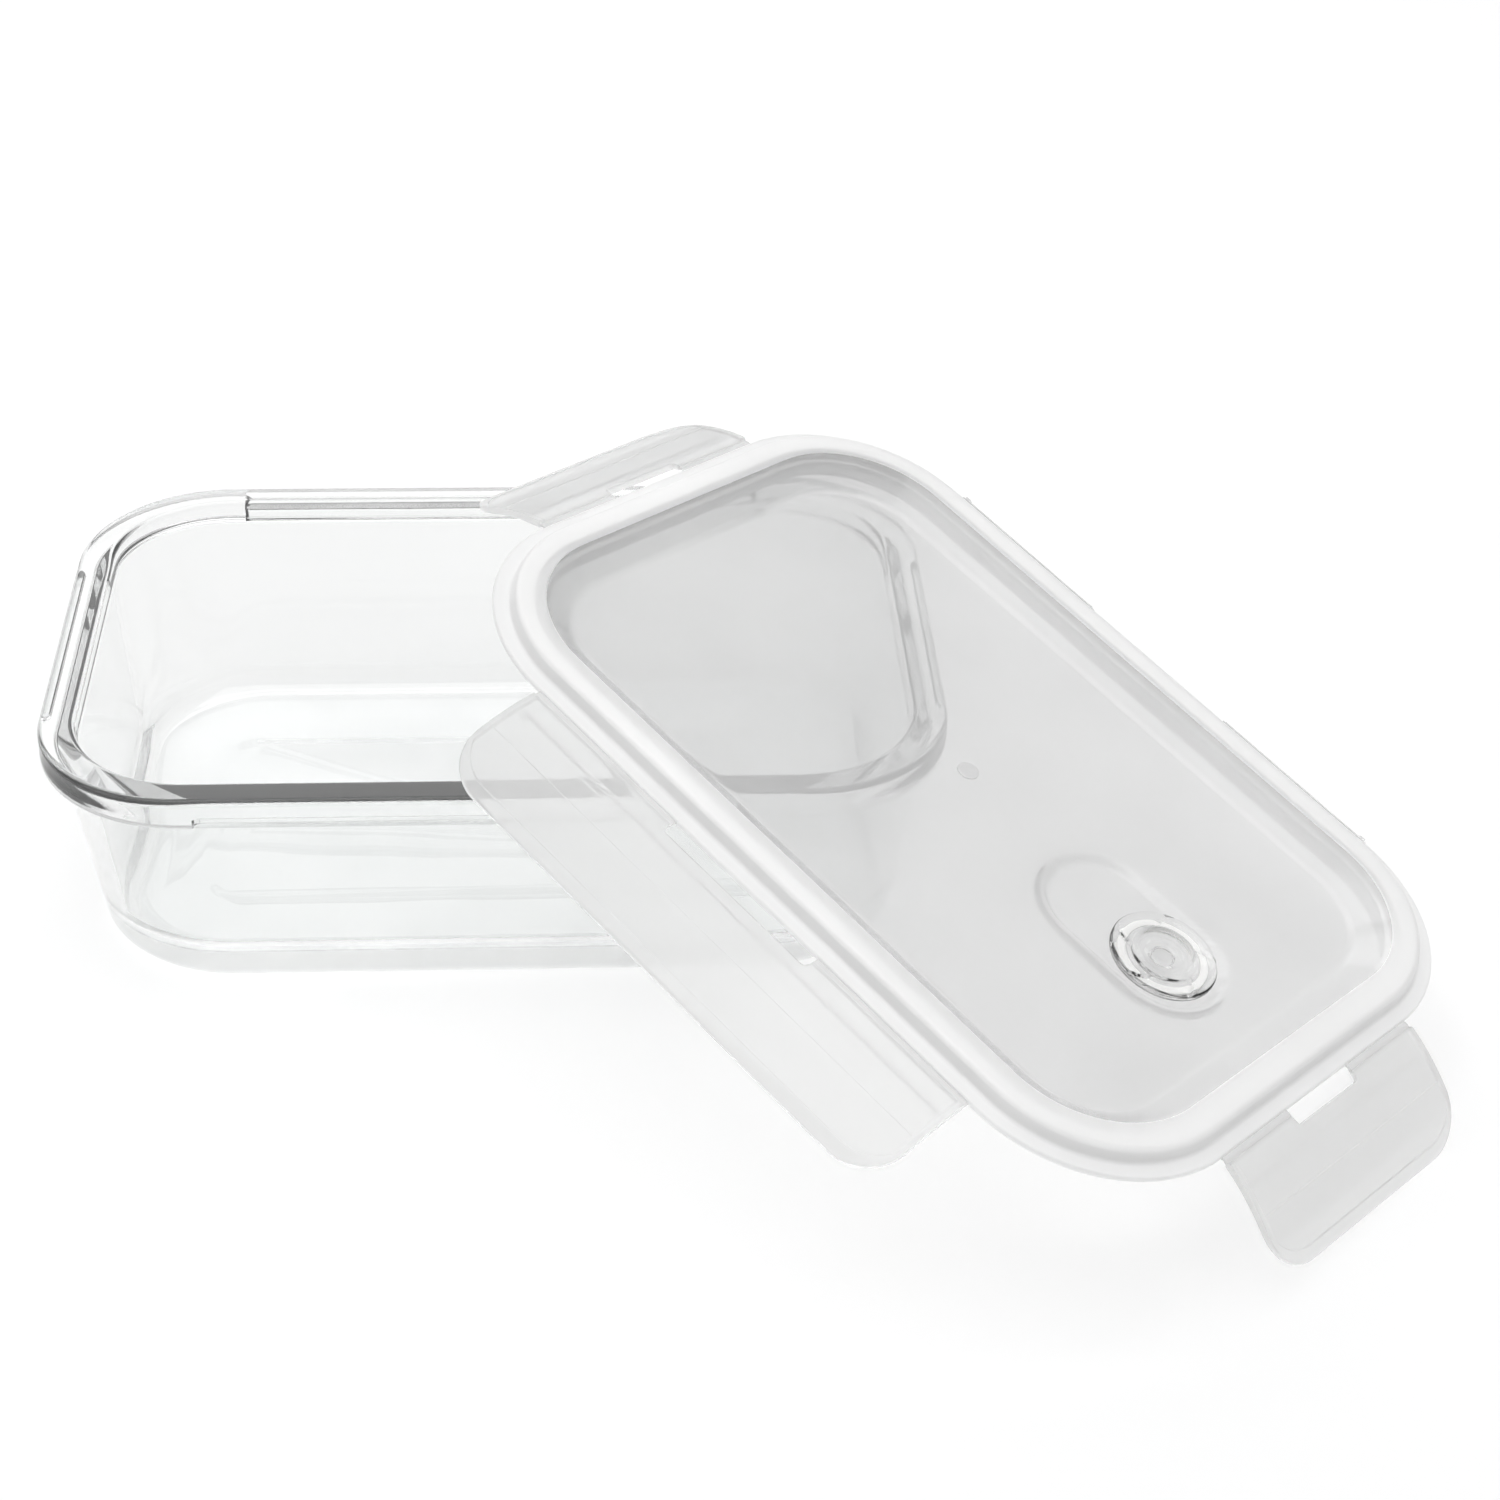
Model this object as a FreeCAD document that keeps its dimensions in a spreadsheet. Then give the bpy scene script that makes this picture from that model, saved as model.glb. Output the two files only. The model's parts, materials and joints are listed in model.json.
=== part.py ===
"""Rectangular glass food container with a snap lid, drawn with the lid off and leaning on the bowl.

The document's origin is the middle of the glass foot, +X along the bowl's long side, +Z up.
The lid and all that is fixed to it are drawn in the lid's own frame and then placed together:
there z = 0 is the plane that sits on the glass rim when the container is shut.
"""
import FreeCAD, Part

import math
import os

import Sketcher

DIMENSIONS = {
    # glass bowl
    "glass_length": 205.0,
    "glass_width": 141.0,
    "glass_height": 56.5,
    "glass_corner": 35.0,
    "foot_corner": 43.0,
    "foot_inset": 10.0,
    "foot_round": 5.0,
    "flange_depth": 7.1,
    "flange_overhang": 4.2,
    "flange_round": 1.6,
    "mouth_inset": 8.2,
    "floor_inset": 13.6,
    "floor_thickness": 5.0,
    "floor_round": 9.0,
    "floor_panel_length": 134.0,
    "floor_panel_width": 62.0,
    "floor_panel_corner": 8.0,
    "floor_panel_step": 0.6,
    # recesses under the flange that the latch hooks snap into
    "catch_long": 130.4,
    "catch_short": 66.0,
    "catch_depth": 2.0,
    "catch_lip": 4.6,
    # lid moulding
    "lid_length": 208.0,
    "lid_width": 144.0,
    "lid_corner": 38.0,
    "lip_bottom": 0.2,
    "lip_top": 1.6,
    "bead_top": 5.2,
    "bead_foot_inset": 3.6,
    "bead_inset": 4.4,
    "channel_outer_inset": 5.0,
    "channel_inner_inset": 9.0,
    "channel_roof": 3.8,
    "rib_outer_inset": 10.2,
    "rib_inner_inset": 11.6,
    "tray_top_inset": 11.0,
    "tray_floor_inset": 18.5,
    "tray_wall": 1.5,
    "tray_floor": -0.6,
    "tray_underside": -2.2,
    "panel_inset": 20.5,
    "bead_round": 1.2,
    "tray_round": 5.0,
    # vent: finger hollow and hole in the lid, and the plug
    "vent_offset": 61.0,
    "hollow_length": 47.0,
    "hollow_width": 28.0,
    "hollow_wall": 1.6,
    "hollow_floor": -2.0,
    "hollow_underside": -3.6,
    "hollow_centre": 52.5,
    "vent_hole": 5.6,
    "plug_diameter": 24.6,
    "plug_underside": -1.1,
    "plug_top": 0.2,
    "crown_diameter": 15.0,
    "crown_top": 0.7,
    "dimple_diameter": 4.0,
    "dimple_depth": 0.5,
    "plug_stem": 5.2,
    "plug_barb": 7.2,
    "barb_top": -6.3,
    "barb_height": 1.2,
    "notch_length": 5.0,
    "notch_width": 1.0,
    "notch_depth": 0.6,
    "notch_count": 5,
    "gate_diameter": 5.0,
    "gate_height": 0.3,
    # silicone seals
    "gasket_outer_inset": 5.1,
    "gasket_inner_inset": 8.9,
    "gasket_bottom": -0.3,
    "gasket_top": 3.7,
    "seal_outer": 21.0,
    "seal_inner": 17.0,
    "seal_gap": 0.05,
    # latch flaps
    "flap_length": 27.0,
    "flap_thickness": 1.3,
    "flap_bend": 30.0,
    "flap_corner": 11.0,
    "flap_long": 129.6,
    "flap_short": 69.2,
    "flap_root_gap": 1.0,
    "flap_rim_width": 2.6,
    "flap_rim_height": 0.4,
    "slot_long": 43.0,
    "slot_short": 22.6,
    "slot_reach": 2.4,
    "hook_start": 4.5,
    "hook_width": 2.0,
    "hook_height": 2.0,
    "hook_end_gap": 3.0,
    # living hinges
    "hinge_height": 0.9,
    "hinge_stand_off": 0.5,
    "web_thickness": 0.5,
    "web_reach": 0.55,
    # how the lid leans on the bowl
    "lean_x": 103.7,
    "lean_y": -61.1,
    "lean_z": 55.6,
    "lean_turn": -46.7,
    "lean_slope": 18.3,
    "lean_bank": -4.1,
}

# how far each latch flap has dropped from the lid's own plane, in degrees
FLAP_DROP = {"right": 18.0, "back": 48.0, "left": 18.0, "front": 6.0}
FLAP_TURN = {"right": 0.0, "back": 90.0, "left": 180.0, "front": 270.0}

SHEET = "Dimensions"

doc = FreeCAD.newDocument("snap_lid_container")


def make_sheet():
    """Spreadsheet with one named cell for each driving dimension."""
    sheet = doc.addObject("Spreadsheet::Sheet", SHEET)
    for row, (alias, value) in enumerate(DIMENSIONS.items(), start=1):
        sheet.set("A%d" % row, alias)
        sheet.set("B%d" % row, str(value))
        sheet.setAlias("B%d" % row, alias)
    doc.recompute()
    return sheet


def ref(alias):
    """The expression that reads one cell."""
    return "%s.%s" % (SHEET, alias)


def new_body(label):
    body = doc.addObject("PartDesign::Body", label)
    body.Label = label
    return body


def origin_plane(body, role):
    for feature in body.Origin.OriginFeatures:
        if feature.Role == role:
            return feature
    raise ValueError(role)


def new_sketch(body, name, role="XY_Plane", height=None):
    """Sketch on one of the body's origin planes, raised by a named height."""
    sketch = body.newObject("Sketcher::SketchObject", name)
    sketch.AttachmentSupport = [(origin_plane(body, role), "")]
    sketch.MapMode = "FlatFace"
    if height:
        sketch.setExpression("AttachmentOffset.Base.z", ref(height))
    return sketch


def bind(sketch, constraint, expression, name):
    """Adds a dimension to a sketch and ties it to the sheet."""
    index = sketch.addConstraint(constraint)
    sketch.renameConstraint(index, name)
    sketch.setExpression("Constraints." + name, expression)


def draw_rounded_rectangle(sketch, size, inset=None, tag="outline"):
    """Rounded rectangle about the sketch's origin, inset evenly from the named outline."""
    length, width, corner = (DIMENSIONS[alias] for alias in size)
    step = DIMENSIONS[inset] if inset else 0.0
    half_x = length / 2 - step
    half_y = width / 2 - step
    radius = corner - step
    first = sketch.GeometryCount
    up = FreeCAD.Vector(0, 0, 1)
    corners = [(1, -1, -90), (1, 1, 0), (-1, 1, 90), (-1, -1, 180)]
    sides = [
        ((-half_x + radius, -half_y), (half_x - radius, -half_y)),
        ((half_x, -half_y + radius), (half_x, half_y - radius)),
        ((half_x - radius, half_y), (-half_x + radius, half_y)),
        ((-half_x, half_y - radius), (-half_x, -half_y + radius)),
    ]
    for (start, end), (sign_x, sign_y, angle) in zip(sides, corners):
        line = Part.LineSegment(FreeCAD.Vector(*start, 0), FreeCAD.Vector(*end, 0))
        sketch.addGeometry(line, False)
        centre = FreeCAD.Vector(sign_x * (half_x - radius), sign_y * (half_y - radius), 0)
        circle = Part.Circle(centre, up, radius)
        arc = Part.ArcOfCircle(circle, math.radians(angle), math.radians(angle + 90))
        sketch.addGeometry(arc, False)
    count = 2 * len(sides)
    for i in range(count):
        following = first + (i + 1) % count
        sketch.addConstraint(Sketcher.Constraint("Tangent", first + i, 2, following, 1))
    for i in (0, 4):
        sketch.addConstraint(Sketcher.Constraint("Horizontal", first + i))
        sketch.addConstraint(Sketcher.Constraint("Vertical", first + i + 2))
    for i in (3, 5, 7):
        sketch.addConstraint(Sketcher.Constraint("Equal", first + 1, first + i))
    sketch.addConstraint(Sketcher.Constraint("Symmetric", first, 1, first + 4, 1, -1, 1))
    drawn = (2 * half_x, 2 * half_y, radius)
    names = ("length", "width", "corner")
    places = (("DistanceX", 6, 1, 2, 1), ("DistanceY", 0, 1, 4, 1), ("Radius", 1))
    shares = (2, 2, 1)
    for alias, value, name, place, share in zip(size, drawn, names, places, shares):
        expression = ref(alias)
        if inset:
            expression += " - %d * %s" % (share, ref(inset))
        if name == "corner":
            constraint = Sketcher.Constraint(place[0], first + place[1], value)
        else:
            kind, edge_a, end_a, edge_b, end_b = place
            constraint = Sketcher.Constraint(
                kind, first + edge_a, end_a, first + edge_b, end_b, value
            )
        bind(sketch, constraint, expression, "%s_%s" % (tag, name))


def rounded_rectangle(body, name, size, inset=None, height=None):
    sketch = new_sketch(body, name, height=height)
    draw_rounded_rectangle(sketch, size, inset)
    return sketch


def draw_circle(sketch, diameter, tag="circle"):
    """Circle about the sketch's origin."""
    circle = Part.Circle(FreeCAD.Vector(), FreeCAD.Vector(0, 0, 1), DIMENSIONS[diameter] / 2)
    index = sketch.addGeometry(circle, False)
    sketch.addConstraint(Sketcher.Constraint("Coincident", index, 3, -1, 1))
    constraint = Sketcher.Constraint("Diameter", index, DIMENSIONS[diameter])
    bind(sketch, constraint, ref(diameter), tag + "_diameter")


def pad(body, sketch, length, name):
    """Extrudes a sketch upwards by an expression of the sheet's cells."""
    feature = body.newObject("PartDesign::Pad", name)
    feature.Profile = sketch
    feature.setExpression("Length", length)
    sketch.Visibility = False
    return feature


def cut(body, sketch, depth, name, upwards=False):
    """Pockets a sketch down, or up, and stops if nothing was removed."""
    doc.recompute()
    before = body.Shape.Volume
    feature = body.newObject("PartDesign::Pocket", name)
    feature.Profile = sketch
    feature.Reversed = upwards
    feature.setExpression("Length", depth)
    doc.recompute()
    if not body.Shape.Volume < before:
        raise RuntimeError("%s cuts nothing" % name)
    return feature


def loft(body, lower, upper, name, subtract=False):
    kind = "PartDesign::SubtractiveLoft" if subtract else "PartDesign::AdditiveLoft"
    feature = body.newObject(kind, name)
    feature.Profile = lower
    feature.Sections = [upper]
    feature.Ruled = True
    doc.recompute()
    return feature


def ring_edges(shape, height, half_length, half_width, tolerance=0.1):
    """Names of the edges of one level rounded rectangle of the given half size."""
    names = []
    for number, edge in enumerate(shape.Edges, start=1):
        box = edge.BoundBox
        if max(abs(box.ZMin - height), abs(box.ZMax - height)) > tolerance:
            continue
        reach_x = max(abs(box.XMin), abs(box.XMax))
        reach_y = max(abs(box.YMin), abs(box.YMax))
        on_end = abs(reach_x - half_length) < tolerance
        on_side = abs(reach_y - half_width) < tolerance
        if on_end or on_side:
            names.append("Edge%d" % number)
    return names


def fillet(body, edges, radius, name):
    """Rounds named edges of the body's tip by a radius from the sheet."""
    if not edges:
        raise RuntimeError("%s finds no edges" % name)
    base = body.Tip
    feature = body.newObject("PartDesign::Fillet", name)
    feature.Base = (base, edges)
    feature.setExpression("Radius", ref(radius))
    doc.recompute()
    return feature


GLASS = ("glass_length", "glass_width", "glass_corner")
FOOT = ("glass_length", "glass_width", "foot_corner")
FLOOR_PANEL = ("floor_panel_length", "floor_panel_width", "floor_panel_corner")
LID = ("lid_length", "lid_width", "lid_corner")


def half_size(size, inset):
    step = DIMENSIONS[inset] if inset else 0.0
    return DIMENSIONS[size[0]] / 2 - step, DIMENSIONS[size[1]] / 2 - step


def make_glass():
    """Pressed glass bowl: tapered walls, flat foot, thick flange with a latch recess on each side."""
    body = new_body("glass_container")
    d = DIMENSIONS
    foot = rounded_rectangle(body, "foot_outline", FOOT, "foot_inset")
    shoulder = rounded_rectangle(body, "shoulder_outline", GLASS, "flange_overhang")
    flange_bottom = "%s - %s" % (ref("glass_height"), ref("flange_depth"))
    shoulder.setExpression("AttachmentOffset.Base.z", flange_bottom)
    loft(body, foot, shoulder, "outer_wall")
    flange = rounded_rectangle(body, "flange_outline", GLASS)
    flange.setExpression("AttachmentOffset.Base.z", flange_bottom)
    pad(body, flange, ref("flange_depth"), "flange")
    floor = rounded_rectangle(body, "floor_outline", FOOT, "floor_inset", "floor_thickness")
    mouth = rounded_rectangle(body, "mouth_outline", GLASS, "mouth_inset", "glass_height")
    loft(body, floor, mouth, "bowl_space", subtract=True)
    edges = ring_edges(body.Shape, 0.0, *half_size(FOOT, "foot_inset"))
    fillet(body, edges, "foot_round", "foot_rounding")
    edges = ring_edges(body.Shape, d["floor_thickness"], *half_size(FOOT, "floor_inset"))
    fillet(body, edges, "floor_round", "floor_rounding")
    for name, size in (("outer", None), ("inner", "mouth_inset")):
        edges = ring_edges(body.Shape, d["glass_height"], *half_size(GLASS, size))
        fillet(body, edges, "flange_round", "rim_rounding_" + name)
    panel = rounded_rectangle(body, "floor_panel", FLOOR_PANEL, None, "floor_thickness")
    cut(body, panel, ref("floor_panel_step"), "floor_panel_step")
    make_catches(body, flange_bottom)
    return body


def make_catches(body, flange_bottom):
    """Cuts the recess that each latch hook snaps into, up into the flange's outer face."""
    d = DIMENSIONS
    up = FreeCAD.Vector(0, 0, 1)
    sides = [
        ("catch_long", 0.0, d["glass_width"] / 2, "long"),
        ("catch_short", 90.0, d["glass_length"] / 2, "short"),
    ]
    for length, turn, distance, tag in sides:
        for sign in (1, -1):
            sketch = new_sketch(body, "catch_%s_%s" % (tag, "plus" if sign > 0 else "minus"))
            half = d[length] / 2 - d["catch_depth"]
            radius = d["catch_depth"]
            centres = [FreeCAD.Vector(half, 0, 0), FreeCAD.Vector(-half, 0, 0)]
            for centre, angle in zip(centres, (-90, 90)):
                circle = Part.Circle(centre, up, radius)
                start = math.radians(angle)
                arc = Part.ArcOfCircle(circle, start, start + math.pi)
                sketch.addGeometry(arc, False)
            top = Part.LineSegment(
                FreeCAD.Vector(half, radius, 0), FreeCAD.Vector(-half, radius, 0)
            )
            bottom = Part.LineSegment(
                FreeCAD.Vector(-half, -radius, 0), FreeCAD.Vector(half, -radius, 0)
            )
            sketch.addGeometry(top, False)
            sketch.addGeometry(bottom, False)
            for first, second in ((0, 2), (2, 1), (1, 3), (3, 0)):
                sketch.addConstraint(Sketcher.Constraint("Tangent", first, 2, second, 1))
            sketch.addConstraint(Sketcher.Constraint("Horizontal", 2))
            sketch.addConstraint(Sketcher.Constraint("Symmetric", 0, 3, 1, 3, -1, 1))
            bind(
                sketch,
                Sketcher.Constraint("Radius", 0, radius),
                ref("catch_depth"),
                "depth",
            )
            bind(
                sketch,
                Sketcher.Constraint("DistanceX", 1, 3, 0, 3, 2 * half),
                "%s - 2 * %s" % (ref(length), ref("catch_depth")),
                "run",
            )
            offset = FreeCAD.Vector(0, sign * distance, 0)
            spin = FreeCAD.Rotation(up, turn)
            sketch.AttachmentOffset = FreeCAD.Placement(spin.multVec(offset), spin)
            sketch.setExpression("AttachmentOffset.Base.z", flange_bottom)
            depth = "%s - %s" % (ref("flange_depth"), ref("catch_lip"))
            cut(body, sketch, depth, sketch.Name + "_recess", upwards=True)


def make_lid_rim():
    """Ring of the lid moulding: thin lip, hollow bead over the glass rim, rib and sloping tray wall."""
    body = new_body("lid_rim")
    d = DIMENSIONS
    lip = rounded_rectangle(body, "lip_outline", LID, None, "lip_bottom")
    pad(body, lip, "%s - %s" % (ref("lip_top"), ref("lip_bottom")), "lip")
    bead_foot = rounded_rectangle(body, "bead_foot", LID, "bead_foot_inset", "lip_top")
    bead_crest = rounded_rectangle(body, "bead_crest", LID, "bead_inset", "bead_top")
    loft(body, bead_foot, bead_crest, "bead")
    rib = rounded_rectangle(body, "rib_outline", LID, "rib_outer_inset", "tray_underside")
    pad(body, rib, "%s - %s" % (ref("lip_top"), ref("tray_underside")), "rib")
    edges = ring_edges(body_shape(body), d["bead_top"], *half_size(LID, "bead_inset"))
    fillet(body, edges, "bead_round", "bead_rounding")
    inner = rounded_rectangle(body, "rib_inner", LID, "rib_inner_inset", "bead_top")
    cut(body, inner, "%s - %s" % (ref("bead_top"), ref("tray_underside")), "rib_opening")
    channel = new_sketch(body, "channel_outline", height="lip_bottom")
    draw_rounded_rectangle(channel, LID, "channel_outer_inset", "outer")
    draw_rounded_rectangle(channel, LID, "channel_inner_inset", "inner")
    depth = "%s - %s" % (ref("channel_roof"), ref("lip_bottom"))
    cut(body, channel, depth, "gasket_channel", upwards=True)
    make_tray_wall(body)
    return body


def body_shape(body):
    doc.recompute()
    return body.Shape


def make_tray_wall(body):
    """Sloping wall of the sunken tray: a tapered plug, hollowed from above, then opened for the panel."""
    d = DIMENSIONS
    under = rounded_rectangle(body, "tray_under", LID, None, "tray_underside")
    crest = rounded_rectangle(body, "tray_crest", LID, None, "bead_top")
    for sketch, inset in ((under, "tray_floor_inset"), (crest, "tray_top_inset")):
        for name, alias, share in zip(("length", "width", "corner"), LID, (2, 2, 1)):
            expression = "%s - %d * (%s - %s)" % (
                ref(alias), share, ref(inset), ref("tray_wall")
            )
            sketch.setExpression("Constraints.outline_" + name, expression)
    loft(body, under, crest, "tray_outside")
    floor = rounded_rectangle(body, "tray_floor", LID, "tray_floor_inset", "tray_floor")
    mouth = rounded_rectangle(body, "tray_mouth", LID, "tray_top_inset", "bead_top")
    loft(body, floor, mouth, "tray_inside", subtract=True)
    edges = ring_edges(body.Shape, d["tray_floor"], *half_size(LID, "tray_floor_inset"))
    fillet(body, edges, "tray_round", "tray_rounding")
    opening = rounded_rectangle(body, "panel_edge", LID, "panel_inset", "tray_floor")
    cut(body, opening, "%s - %s" % (ref("tray_floor"), ref("tray_underside")), "panel_opening")


def make_lid_panel():
    """Flat floor of the lid's tray, drawn apart from the ring so that collision leaves the tray open."""
    body = new_body("lid_panel")
    outline = rounded_rectangle(body, "panel_outline", LID, "panel_inset", "tray_underside")
    pad(body, outline, "%s - %s" % (ref("tray_floor"), ref("tray_underside")), "panel")
    make_vent_seat(body)
    return body


def draw_stadium(sketch, length, width, centre, grow="", grow_value=0.0):
    """Long hole shape about a centre on the sketch's X axis, widened all round by grow."""
    radius = DIMENSIONS[width] / 2 + grow_value
    half = (DIMENSIONS[length] - DIMENSIONS[width]) / 2
    middle = DIMENSIONS[centre]
    up = FreeCAD.Vector(0, 0, 1)
    for sign, angle in ((1, -90), (-1, 90)):
        circle = Part.Circle(FreeCAD.Vector(middle + sign * half, 0, 0), up, radius)
        start = math.radians(angle)
        sketch.addGeometry(Part.ArcOfCircle(circle, start, start + math.pi), False)
    for sign in (1, -1):
        start = FreeCAD.Vector(middle + sign * half, sign * radius, 0)
        end = FreeCAD.Vector(middle - sign * half, sign * radius, 0)
        sketch.addGeometry(Part.LineSegment(start, end), False)
    for first, second in ((0, 2), (2, 1), (1, 3), (3, 0)):
        sketch.addConstraint(Sketcher.Constraint("Tangent", first, 2, second, 1))
    for arc in (0, 1):
        sketch.addConstraint(Sketcher.Constraint("PointOnObject", arc, 3, -1))
    run = "(%s - %s) / 2" % (ref(length), ref(width))
    bind(
        sketch,
        Sketcher.Constraint("Radius", 0, radius),
        "%s / 2%s" % (ref(width), grow),
        "radius",
    )
    for arc, sign in ((0, "+"), (1, "-")):
        value = middle + (half if sign == "+" else -half)
        bind(
            sketch,
            Sketcher.Constraint("DistanceX", -1, 1, arc, 3, value),
            "%s %s %s" % (ref(centre), sign, run),
            "centre_%d" % arc,
        )


def make_vent_seat(body):
    """Finger hollow beside the vent, the vent's hole and the gate mark in the middle."""
    d = DIMENSIONS
    outside = new_sketch(body, "hollow_outside", height="hollow_underside")
    grow = " + " + ref("hollow_wall")
    draw_stadium(outside, "hollow_length", "hollow_width", "hollow_centre", grow, d["hollow_wall"])
    pad(body, outside, "%s - %s" % (ref("tray_underside"), ref("hollow_underside")), "hollow_wall")
    inside = new_sketch(body, "hollow_inside", height="tray_floor")
    draw_stadium(inside, "hollow_length", "hollow_width", "hollow_centre")
    cut(body, inside, "%s - %s" % (ref("tray_floor"), ref("hollow_floor")), "hollow")
    hole = new_sketch(body, "vent_hole_outline", height="hollow_floor")
    hole.setExpression("AttachmentOffset.Base.x", ref("vent_offset"))
    draw_circle(hole, "vent_hole")
    cut(body, hole, "%s - %s" % (ref("hollow_floor"), ref("hollow_underside")), "vent_hole")
    gate = new_sketch(body, "gate_outline", height="tray_floor")
    draw_circle(gate, "gate_diameter")
    pad(body, gate, ref("gate_height"), "gate_mark")


def make_gasket():
    """Silicone ring that sits in the lid's channel and presses on the glass rim."""
    body = new_body("lid_gasket")
    ring = new_sketch(body, "gasket_outline", height="gasket_bottom")
    draw_rounded_rectangle(ring, LID, "gasket_outer_inset", "outer")
    draw_rounded_rectangle(ring, LID, "gasket_inner_inset", "inner")
    pad(body, ring, "%s - %s" % (ref("gasket_top"), ref("gasket_bottom")), "gasket_ring")
    return body


def draw_block(sketch, width, low, high, values):
    """Rectangle centred on the sketch's Y axis, between two heights above its X axis."""
    half, bottom, top = values[0] / 2, values[1], values[2]
    points = [(-half, bottom), (half, bottom), (half, top), (-half, top)]
    for i, point in enumerate(points):
        start = FreeCAD.Vector(*point, 0)
        end = FreeCAD.Vector(*points[(i + 1) % 4], 0)
        sketch.addGeometry(Part.LineSegment(start, end), False)
    for i in range(4):
        sketch.addConstraint(Sketcher.Constraint("Coincident", i, 2, (i + 1) % 4, 1))
    sketch.addConstraint(Sketcher.Constraint("Symmetric", 0, 1, 0, 2, -2))
    sketch.addConstraint(Sketcher.Constraint("Vertical", 1))
    sketch.addConstraint(Sketcher.Constraint("Horizontal", 2))
    sketch.addConstraint(Sketcher.Constraint("Vertical", 3))
    bind(sketch, Sketcher.Constraint("DistanceX", 0, 1, 0, 2, 2 * half), width, "width")
    bind(sketch, Sketcher.Constraint("DistanceY", -1, 1, 0, 2, bottom), low, "low")
    bind(sketch, Sketcher.Constraint("DistanceY", -1, 1, 1, 2, top), high, "high")


BEND_RADIUS = "%s * 180 / (pi * %s)" % (ref("flap_length"), ref("flap_bend"))


def bend_radius():
    """Radius of the flap's middle surface, which bends evenly from root to free edge."""
    return DIMENSIONS["flap_length"] / math.radians(DIMENSIONS["flap_bend"])


def curved_block(body, name, width, low, high, start, length):
    """Block swept round the flap's centre of curvature, between two distances from its root.

    Width is (expression, value); low and high are (expression, value) offsets from the middle
    surface; start and length are cells that measure along the flap from its root.
    """
    radius = bend_radius()
    sketch = new_sketch(body, name + "_section", "YZ_Plane")
    values = (width[1], radius + low[1], radius + high[1])
    draw_block(
        sketch,
        width[0],
        "%s + (%s)" % (BEND_RADIUS, low[0]),
        "%s + (%s)" % (BEND_RADIUS, high[0]),
        values,
    )
    if start:
        across = FreeCAD.Vector(1, 0, 0)
        sketch.AttachmentOffset = FreeCAD.Placement(
            FreeCAD.Vector(), FreeCAD.Rotation(across, 1)
        )
        angle = "(%s) * %s / %s" % (start, ref("flap_bend"), ref("flap_length"))
        sketch.setExpression("AttachmentOffset.Rotation.Angle", angle)
    feature = body.newObject("PartDesign::Revolution", name)
    feature.Profile = sketch
    feature.ReferenceAxis = (sketch, ["H_Axis"])
    angle = "(%s) * %s / %s" % (length, ref("flap_bend"), ref("flap_length"))
    feature.setExpression("Angle", angle)
    doc.recompute()
    return feature


def make_flap(side, flap, slot):
    """Latch flap: curved plate with a thicker free edge, hook ridge inside and slot at its root."""
    body = new_body("latch_flap_" + side)
    d = DIMENSIONS
    half_plate = (ref("flap_thickness") + " / 2", d["flap_thickness"] / 2)
    inner_face = ("-" + half_plate[0], -half_plate[1])
    width = (ref(flap), d[flap])
    plate = curved_block(body, "plate", width, inner_face, half_plate, None, ref("flap_length"))
    rim_face = (
        half_plate[0] + " + " + ref("flap_rim_height"),
        half_plate[1] + d["flap_rim_height"],
    )
    rim_start = "%s - %s" % (ref("flap_length"), ref("flap_rim_width"))
    middle = ("0", 0.0)
    curved_block(body, "rim", width, middle, rim_face, rim_start, ref("flap_rim_width"))
    radius = bend_radius()
    bend = math.radians(d["flap_bend"])
    corners = []
    for sign in (1, -1):
        free_corner = FreeCAD.Vector(
            radius * math.sin(bend), sign * d[flap] / 2, radius * math.cos(bend)
        )
        corners += edges_near(body.Shape, free_corner, d["flap_thickness"])
    fillet(body, corners, "flap_corner", "free_corners")
    hook_width = (
        "%s - 2 * %s" % (ref(flap), ref("hook_end_gap")),
        d[flap] - 2 * d["hook_end_gap"],
    )
    hook_face = (
        inner_face[0] + " - " + ref("hook_height"),
        inner_face[1] - d["hook_height"],
    )
    curved_block(body, "hook", hook_width, hook_face, middle, ref("hook_start"), ref("hook_width"))
    make_slot(body, slot)
    return body


def edges_near(shape, point, reach):
    """Names of the edges whose two ends both lie within reach of a point."""
    names = []
    for number, edge in enumerate(shape.Edges, start=1):
        if all(vertex.Point.distanceToPoint(point) < reach for vertex in edge.Vertexes):
            names.append("Edge%d" % number)
    return names


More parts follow.
